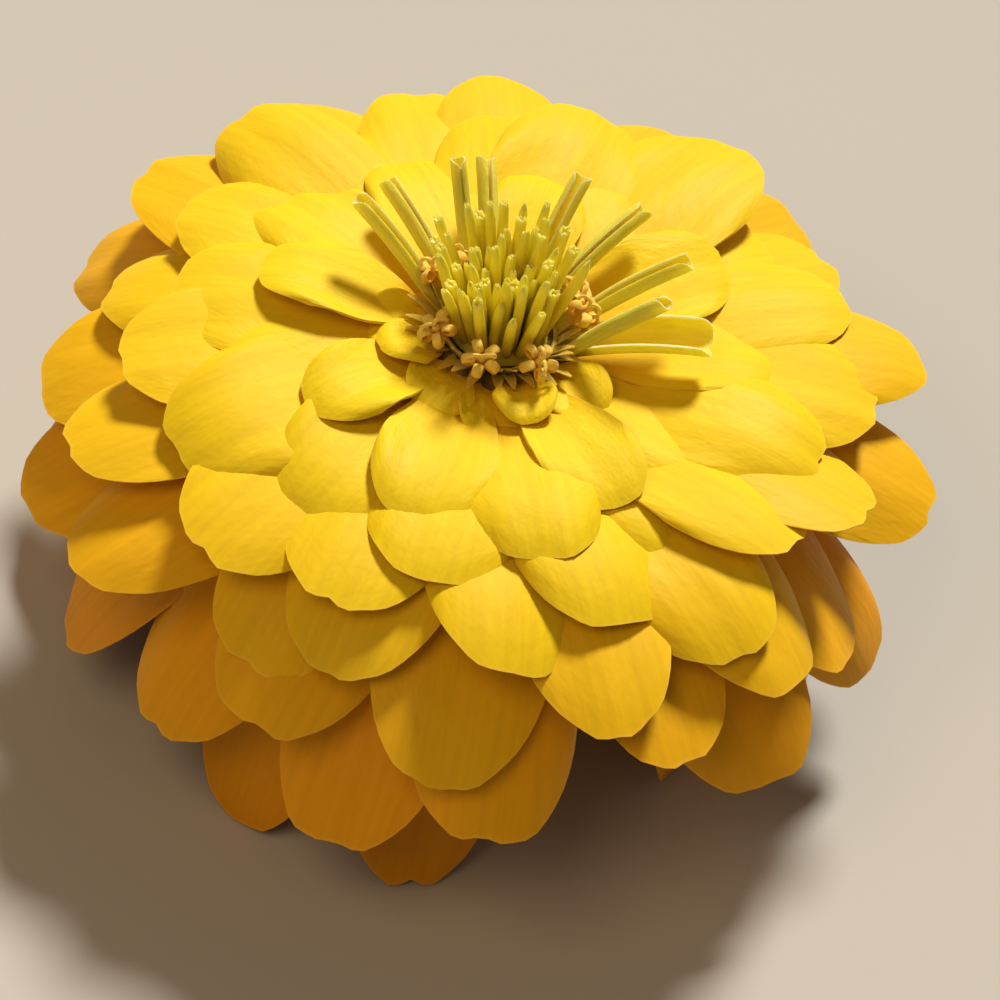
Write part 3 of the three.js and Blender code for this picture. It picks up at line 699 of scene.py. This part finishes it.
def tubePattern():   # a unit tube with an open flared mouth
    d = discTubes
    clearSelection()
    bpy.ops.mesh.primitive_cylinder_add(vertices=d["sides"], radius=1, depth=1,
                                        end_fill_type="NGON", location=(0, 0, 0.5))
    tube = bpy.context.object
    bpy.ops.object.transform_apply(location=True, rotation=True, scale=True)
    for height in d["cuts"]:
        bpy.ops.object.mode_set(mode="EDIT")
        bpy.ops.mesh.select_all(action="SELECT")
        bpy.ops.mesh.bisect(plane_co=(0, 0, height), plane_no=(0, 0, 1))
        bpy.ops.object.mode_set(mode="OBJECT")
    markFaces(tube, lambda middle, normal: normal.z > 0.9)
    bpy.ops.mesh.inset(thickness=d["wall"])
    bpy.ops.mesh.extrude_region_move(TRANSFORM_OT_translate={"value": (0, 0, -d["pit"])})
    bpy.ops.transform.resize(value=(d["pitShare"], d["pitShare"], 1), center_override=(0, 0, 1))
    bpy.ops.object.mode_set(mode="OBJECT")
    return tube


def makeTubes():
    d = discTubes
    pattern = tubePattern()
    unit = pointsOf(pattern.data)
    outer = np.hypot(unit[:, 0], unit[:, 1])
    around = np.arctan2(unit[:, 1], unit[:, 0])
    waist, bud = d["waist"], d["shut"]
    tubes = []
    for i in range(d["count"]):
        out = math.sqrt((i + 0.5) / d["count"])
        azimuth = math.radians(i * goldenAngle)
        arch = math.sqrt(1 - (out * d["spread"] / d["domeRadius"]) ** 2)
        surface = d["floor"] + d["domeRise"] * arch
        height = (d["height"] + d["edgeExtra"] * out + d["heightJitter"] * draw(i, 22)
                  + d["backExtra"] * out * math.cos(azimuth - math.radians(rayPetals["quillSide"])))
        along = unit[:, 2]
        radius = d["footRadius"] + (d["mouthRadius"] - d["footRadius"]) * along ** d["flare"]
        pinch = np.exp(-((along - waist["at"]) / waist["width"]) ** 2)
        radius = radius * (1 - waist["depth"] * pinch)
        shut = np.clip(bud["usual"] + bud["vary"] * draw(i, 28), bud["least"], bud["most"])
        nearMouth = np.clip((along - 1 + bud["length"]) / bud["length"], 0, 1)
        radius = radius * (1 - shut * nearMouth ** bud["power"])
        oval = 1 + d["oval"] * draw(i, 23) * np.cos(2 * around)
        bow = d["bowing"] * (draw(i, 24) + d["bowMiddle"]) * np.sin(along * math.pi / 2) ** 2
        points = columns(unit[:, 0] * radius * oval - bow,
                         unit[:, 1] * radius / oval + d["bowing"] * draw(i, 25) * along ** 2,
                         along * height)
        tilt = d["mouthTilt"] * draw(i, 26) * unit[:, 0]
        points[:, 2] += (along > d["mouthFrom"]) * (tilt + d["lobe"] * np.cos(5 * around))
        outwards = d["edgeLean"] * out + d["leanJitter"] * draw(i, 21)
        leanX = outwards * math.cos(azimuth) + d["sideLean"][0]
        leanY = outwards * math.sin(azimuth) + d["sideLean"][1]
        lean, towards = math.radians(math.hypot(leanX, leanY)), math.atan2(leanY, leanX)
        reach = out * d["spread"]
        foot = np.array([reach * math.cos(azimuth), reach * math.sin(azimuth),
                         surface - min(d["sunk"], surface - d["floor"] - d["footAbove"])])
        tube = copyOf(pattern, f"tube{i}")
        movePoints(tube.data, (turned(points, towards, lean) + foot) * mm)
        # painted shade: the pit inside each mouth takes the darker tone from low on the tube
        inside = (outer < d["wall"] * d["pitShadeReach"]) & (along > d["mouthFrom"])
        keepVector(tube.data, "tubePlace", columns(
            around / (2 * math.pi), np.where(inside, d["pitShadeTone"], along), draw(i, 27)))
        tubes.append(tube)
    bpy.data.objects.remove(pattern)
    rings = [(d["domeRadius"] * r, d["floor"] + d["domeRise"] * h) for r, h in d["domeRings"]]
    dome = raiseRings("eyeDome", rings, d["domeSides"])
    # the dome between the tube feet is toned darker as painted shade
    keepVector(dome.data, "tubePlace", [0, 0, d["domeShadeTone"]])
    return joinUp([dome] + tubes, "discTubes")


# Open florets.

openFlorets = {
    "azimuths": [14, 34, 99, 143, 161, 224, 264, 306], "standRadius": 5.8, "floor": 40.8,
    "ringInner": 5.6, "ringOuter": 6.1, "ringRise": 0.35, "lean": 32, "sunk": 0.5,
    "cup": [(0.55, 0), (0.55, 1.2), (0.85, 1.9), (1.15, 2.8), (1.05, 3.7), (1.2, 4.3)],
    "cupSides": 15, "cupWall": 0.16,
    "column": [(0.45, 2.4), (0.5, 3.8), (0.5, 4.4), (0.34, 4.9), (0.12, 5.1)], "columnSides": 10,
    "bandSides": (14, 8), "ringSides": (48, 10),      # round a curled band or the ring, and its rod
    "lobes": 5, "lobe": {"major": 0.6, "minor": 0.2, "wide": 2.5, "out": 1.3, "height": 4.25},
    "styleArms": 2,
    "styleArm": {"major": 0.68, "minor": 0.2, "wide": 1.1, "out": 0.66, "height": 5.1},
    "wave": 0.25, "waveFrom": 3.3, "heightVary": 0.08,   # strays of a floret's mouth and height
    "scaleRows": [(30, 6.1, 30), (26, 6.3, 62)],      # how many, how far out, how much they lean
    "scaleWidth": 1.3, "scaleHeight": 3.1, "scaleThickness": 0.14, "scaleBend": 0.5,
    "scaleHollow": 0.3, "scaleTaper": 0.8, "scaleAbove": 0.1, "rowDrop": 0.25,
    "scaleVary": {"turn": 0.06, "height": 0.25, "lean": 10},
    "toneHeight": 5, "scaleTone": (0.05, 0.08), "ringTone": 0.2,     # read by their material
}


def rodRing(major, minor, sides, **place):   # a rod bent round into a ring
    clearSelection()
    bpy.ops.mesh.primitive_torus_add(major_radius=major * mm, minor_radius=minor * mm,
                                     major_segments=sides[0], minor_segments=sides[1], **place)
    made = bpy.context.object
    bpy.ops.object.transform_apply(location=True, rotation=True, scale=True)
    return made


def curledBand(band, azimuth):   # curls right round, upright and facing away from the stalk
    made = rodRing(band["major"], band["minor"], openFlorets["bandSides"],
                   rotation=(math.pi / 2, 0, 0))
    place = np.array([band["out"], 0, band["height"]]) * mm
    movePoints(made.data, turned(pointsOf(made.data) * [1, band["wide"], 1] + place, azimuth, 0))
    return made


def floretPattern():   # a cup whose five lobes curl back, round a short column with two style arms
    f = openFlorets
    cup = raiseRings("floretPattern", f["cup"], f["cupSides"], close=False)
    addModifier(cup, "SOLIDIFY", thickness=f["cupWall"] * mm, offset=1)
    parts = [cup, raiseRings("column", f["column"], f["columnSides"])]
    for band, count in (("lobe", f["lobes"]), ("styleArm", f["styleArms"])):
        parts += [curledBand(f[band], 2 * math.pi * k / count) for k in range(count)]
    return joinUp(parts, "floretPattern")


def scalePattern():   # a narrow pointed scale, x outwards and z up
    f = openFlorets
    clearSelection()
    bpy.ops.mesh.primitive_grid_add(x_subdivisions=2, y_subdivisions=4, size=2)
    scale = bpy.context.object
    flat = pointsOf(scale.data)
    u, v = flat[:, 0], (flat[:, 1] + 1) / 2
    movePoints(scale.data, columns(f["scaleBend"] * v * v - f["scaleHollow"] * u * u * (1 - v),
                                   u * f["scaleWidth"] / 2 * (1 - f["scaleTaper"] * v ** 2),
                                   v * f["scaleHeight"]) * mm)
    addModifier(scale, "SOLIDIFY", thickness=f["scaleThickness"] * mm, offset=0)
    return scale


def makeFlorets():
    f = openFlorets
    pattern = floretPattern()
    unit = pointsOf(pattern.data) / mm
    radius = np.hypot(unit[:, 0], unit[:, 1])
    florets = []
    for k, degrees in enumerate(f["azimuths"]):
        azimuth, lean = math.radians(degrees), math.radians(f["lean"])
        foot = np.array([f["standRadius"] * math.cos(azimuth), f["standRadius"] * math.sin(azimuth),
                         f["floor"] + f["ringRise"] - f["sunk"]])
        spin = 2 * math.pi / f["lobes"] * draw(k, 31)
        wave = f["wave"] * np.sin(3 * np.arctan2(unit[:, 1], unit[:, 0]) + 6 * draw(k, 32))
        points = unit * [1, 1, 1 + f["heightVary"] * draw(k, 33)]
        points[:, 2] += wave * (radius > 1) * (unit[:, 2] > f["waveFrom"])
        points = points @ np.array(Matrix.Rotation(spin, 3, "Z")).T
        floret = copyOf(pattern, f"floret{k}")
        movePoints(floret.data, (turned(points, azimuth, lean) + foot) * mm)
        keepVector(floret.data, "floretPlace",
                   columns(radius, unit[:, 2] / f["toneHeight"], draw(k, 34)))
        florets.append(floret)
    bpy.data.objects.remove(pattern)
    low, high = f["floor"], f["floor"] + f["ringRise"]
    vary, (footTone, toneRise) = f["scaleVary"], f["scaleTone"]
    pattern = scalePattern()
    unit = pointsOf(pattern.data) / mm
    for row, (count, out, rowLean) in enumerate(f["scaleRows"]):
        for k in range(count):
            seed = k + 50 * row
            azimuth = 2 * math.pi * k / count + vary["turn"] * draw(seed, 36)
            foot = np.array([math.cos(azimuth) * out, math.sin(azimuth) * out,
                             low + f["scaleAbove"] - f["rowDrop"] * row])
            scale = copyOf(pattern, f"scale{seed}")
            points = unit * [1, 1, 1 + vary["height"] * draw(seed, 37)]
            lean = math.radians(rowLean + vary["lean"] * draw(seed, 38))
            movePoints(scale.data, (turned(points, azimuth, lean) + foot) * mm)
            keepVector(scale.data, "floretPlace",
                       columns(unit[:, 0], footTone + toneRise * unit[:, 2], draw(seed, 39)))
            florets.append(scale)
    bpy.data.objects.remove(pattern)
    inner, outer = f["ringInner"], f["ringOuter"]
    ring = rodRing((inner + outer) / 2, (outer - inner) / 2, f["ringSides"],
                   location=(0, 0, (low + high) / 2 * mm))
    keepVector(ring.data, "floretPlace", [0, f["ringTone"], 0])
    return joinUp([ring] + florets, "openFlorets")


# Involucre.

involucre = {
    "foot": 15, "top": 26.5, "footRadius": 3.1, "topRadius": 9.4, "fullness": 0.8, "sides": 40,
    "bellTone": 0.3,
    # each row: how many, start as a share of the height, reach, width, how far it stands out
    "rows": [(8, 0.1, 5.4, 5.0, 1.1), (11, 0.34, 5.6, 5.0, 1.0), (12, 0.6, 5.0, 4.6, 0.9)],
    "bractThickness": 0.45, "tip": 0.3, "sunk": 0.2, "edgeSunk": 0.35, "lift": 0.15,
    "belly": (-0.45, 0.5, 0.75),             # curve of a bract's width, from foot to tip
    "footLift": 0.3,                         # share of that last distance at its foot
}


def bellRadius(h):
    b = involucre
    swell = np.sin(h * math.pi / 2) ** b["fullness"]
    return b["footRadius"] + (b["topRadius"] - b["footRadius"]) * swell


def makeInvolucre():
    b = involucre
    tall = b["top"] - b["foot"]
    rings = [(float(bellRadius(h)), b["foot"] + h * tall) for h in np.linspace(0, 1, 9)]
    bell = raiseRings("bell", rings, b["sides"])
    keepVector(bell.data, "bractPlace", [0, b["bellTone"], 0])
    clearSelection()
    bpy.ops.mesh.primitive_grid_add(x_subdivisions=8, y_subdivisions=7, size=2)
    pattern = bpy.context.object
    flat = pointsOf(pattern.data)
    u, v = np.sin(flat[:, 0] * math.pi / 2), (flat[:, 1] + 1) / 2
    bracts = []
    for rowIndex, (count, start, reach, width, proud) in enumerate(b["rows"]):
        for k in range(count):
            middle = k * 2 * math.pi / count + start     # so that the rows don't line up
            h = np.minimum(start + v * (1 - b["tip"] * u * u) * reach / tall, 1)
            wide = width * np.polyval(b["belly"], v) / 2
            lift = proud * np.minimum(1, b["footLift"] + v) - b["sunk"] - b["edgeSunk"] * u * u
            stray = b["lift"] * draw(k + 20 * rowIndex, 41) * v
            radius = bellRadius(h) + lift + stray
            turn = middle + u * wide / radius
            bract = copyOf(pattern, f"bract{rowIndex}-{k}")
            movePoints(bract.data, columns(radius * np.cos(turn), radius * np.sin(turn),
                                           b["foot"] + h * tall) * mm)
            keepVector(bract.data, "bractPlace", columns(u, v, 1))
            bracts.append(bract)
    bpy.data.objects.remove(pattern)
    leaves = joinUp(bracts, "bracts")
    addModifier(leaves, "SOLIDIFY", thickness=b["bractThickness"] * mm, offset=-1)
    return joinUp([bell, leaves], "greenCup")


# Stem.

stemStub = {
    "radius": 2.5, "flare": 2.9, "flareStart": 0.55, "flarePower": 1.5, "foot": 1.5, "top": 14.7,
    "sides": 44, "cuts": (0.2, 0.4, 0.55, 0.8, 1), "ribs": 11, "rib": 0.09, "bevel": 0.25,
    "chamfer": 0.07, "cutRim": 0.5, "cutDepth": 0.15,
}


def makeStem():
    s = stemStub
    tall = s["top"] - s["foot"]
    rings = [(s["radius"] - s["bevel"], s["foot"]),
             (s["radius"] - s["chamfer"], s["foot"] + s["chamfer"]),
             (s["radius"], s["foot"] + s["bevel"])]
    for h in s["cuts"]:
        swell = max(0, (h - s["flareStart"]) / (1 - s["flareStart"])) ** s["flarePower"]
        rings.append((s["radius"] + (s["flare"] - s["radius"]) * swell, s["foot"] + h * tall))
    stub = raiseRings("cutStem", rings, s["sides"])
    points = pointsOf(stub.data)
    around = np.arctan2(points[:, 1], points[:, 0])
    ribbed = 1 + s["rib"] / s["radius"] * np.cos(s["ribs"] * around)
    points[:, 0] *= ribbed / ribbed.max()
    points[:, 1] *= ribbed / ribbed.max()
    movePoints(stub.data, points)
    takeUp(stub)
    markFaces(stub, lambda middle, normal: normal.z < -0.9)
    bpy.ops.mesh.inset(thickness=s["cutRim"] * mm)
    bpy.ops.mesh.extrude_region_move(TRANSFORM_OT_translate={"value": (0, 0, s["cutDepth"] * mm)})
    bpy.ops.object.mode_set(mode="OBJECT")
    return stub


finishPiece(joinUp([makePetals(), makeHeart()], "rayPetals"), "ray_petals")
finishPiece(makeTubes(), "disc_tubes", tubeSkin())
finishPiece(makeFlorets(), "open_florets", floretSkin())
finishPiece(makeInvolucre(), "involucre", bractSkin())
finishPiece(makeStem(), "stem", stemSkin())
print("pieces are in place")


# Floor, lights and camera.

studio = {   # places and sizes in metres; the key is high and behind, as the sun is in the picture
    "floor": "#c4c0b8", "floorSize": 6, "world": "#eee0cc", "worldStrength": 0.14,
    "key": {"kind": "SUN", "place": (0.06, 0.55, 0.7), "energy": 3.7, "colour": "#fffaf0"},
    "fill": {"kind": "AREA", "place": (-0.35, -0.45, 0.8), "energy": 2.2, "colour": "#ffd8a6"},
    "keyAngle": 12, "fillSize": 0.6, "aim": (0, 0, 0.03),
}


def makeStudio():
    clearSelection()
    bpy.ops.mesh.primitive_plane_add(size=studio["floorSize"], location=(0, 0, 0))
    floor = bpy.context.object
    floor.name = floor.data.name = "floor"
    material, tree = startMaterial("matt studio paper")    # even, pale and without gloss
    objectPlace = put(tree, "TexCoord")
    grain = put(tree, "TexNoise", {"Scale": 2000.0}, {"Vector": objectPlace.outputs["Object"]})
    bump = put(tree, "Bump", {"Strength": 0.05, "Distance": 0.05 * mm},
               {"Height": grain.outputs[0]})
    shader = put(tree, "BsdfPrincipled", {"Base Color": linear(studio["floor"]), "Roughness": 0.9,
                                          "Specular IOR Level": 0.2}, {"Normal": bump.outputs[0]})
    put(tree, "OutputMaterial", {}, {0: shader.outputs[0]})
    floor.data.materials.append(material)
    for name in ("key", "fill"):
        lamp = studio[name]
        bpy.ops.object.light_add(type=lamp["kind"], location=lamp["place"])
        light = bpy.context.object
        light.name = name
        light.data.energy = lamp["energy"]
        light.data.color = linear(lamp["colour"])[:3]
        aim = Vector(studio["aim"]) - Vector(lamp["place"])
        light.rotation_euler = aim.to_track_quat("-Z", "Y").to_euler()
    bpy.data.objects["key"].data.angle = math.radians(studio["keyAngle"])
    bpy.data.objects["fill"].data.shape = "DISK"
    bpy.data.objects["fill"].data.size = studio["fillSize"]
    world = bpy.data.worlds.new("studio")
    bpy.context.scene.world = world
    world.use_nodes = True
    sky = world.node_tree.nodes["Background"]
    sky.inputs["Color"].default_value = linear(studio["world"])
    sky.inputs["Strength"].default_value = studio["worldStrength"]
    bpy.context.scene.view_settings.view_transform = "Standard"
    print("studio is lit")


photoView = {
    "elevation": 47.5, "roll": 14, "distance": 450, "pixelsPerMm": 9.88, "pixels": 1000,
    "axisPixel": (499, 328), "axisHeight": 41,
}


def placeCamera():   # the eye's middle lands on the same pixel as in the picture
    c = photoView
    e, roll = math.radians(c["elevation"]), math.radians(c["roll"])
    upright = Vector((0, math.sin(e), math.cos(e)))
    level = Vector((1, 0, 0))
    ahead = Vector((0, math.cos(e), -math.sin(e)))
    right = level * math.cos(roll) + upright * math.sin(roll)
    up = upright * math.cos(roll) - level * math.sin(roll)
    onAxis = bloomAxis + Vector((0, 0, c["axisHeight"] * mm))
    middle, (pixelX, pixelY) = c["pixels"] / 2, c["axisPixel"]
    target = (onAxis - right * ((pixelX - middle) / c["pixelsPerMm"] * mm)
              - up * ((middle - pixelY) / c["pixelsPerMm"] * mm))
    bpy.ops.object.camera_add()
    camera = bpy.context.object
    camera.matrix_world = Matrix.Translation(target - ahead * c["distance"] * mm) @ Matrix(
        (right, up, -ahead)).transposed().to_4x4()
    camera.data.lens = camera.data.sensor_width * c["distance"] * c["pixelsPerMm"] / c["pixels"]
    camera.data.clip_start = 0.01
    bpy.context.scene.camera = camera
    print("camera is set")


makeStudio()
placeCamera()
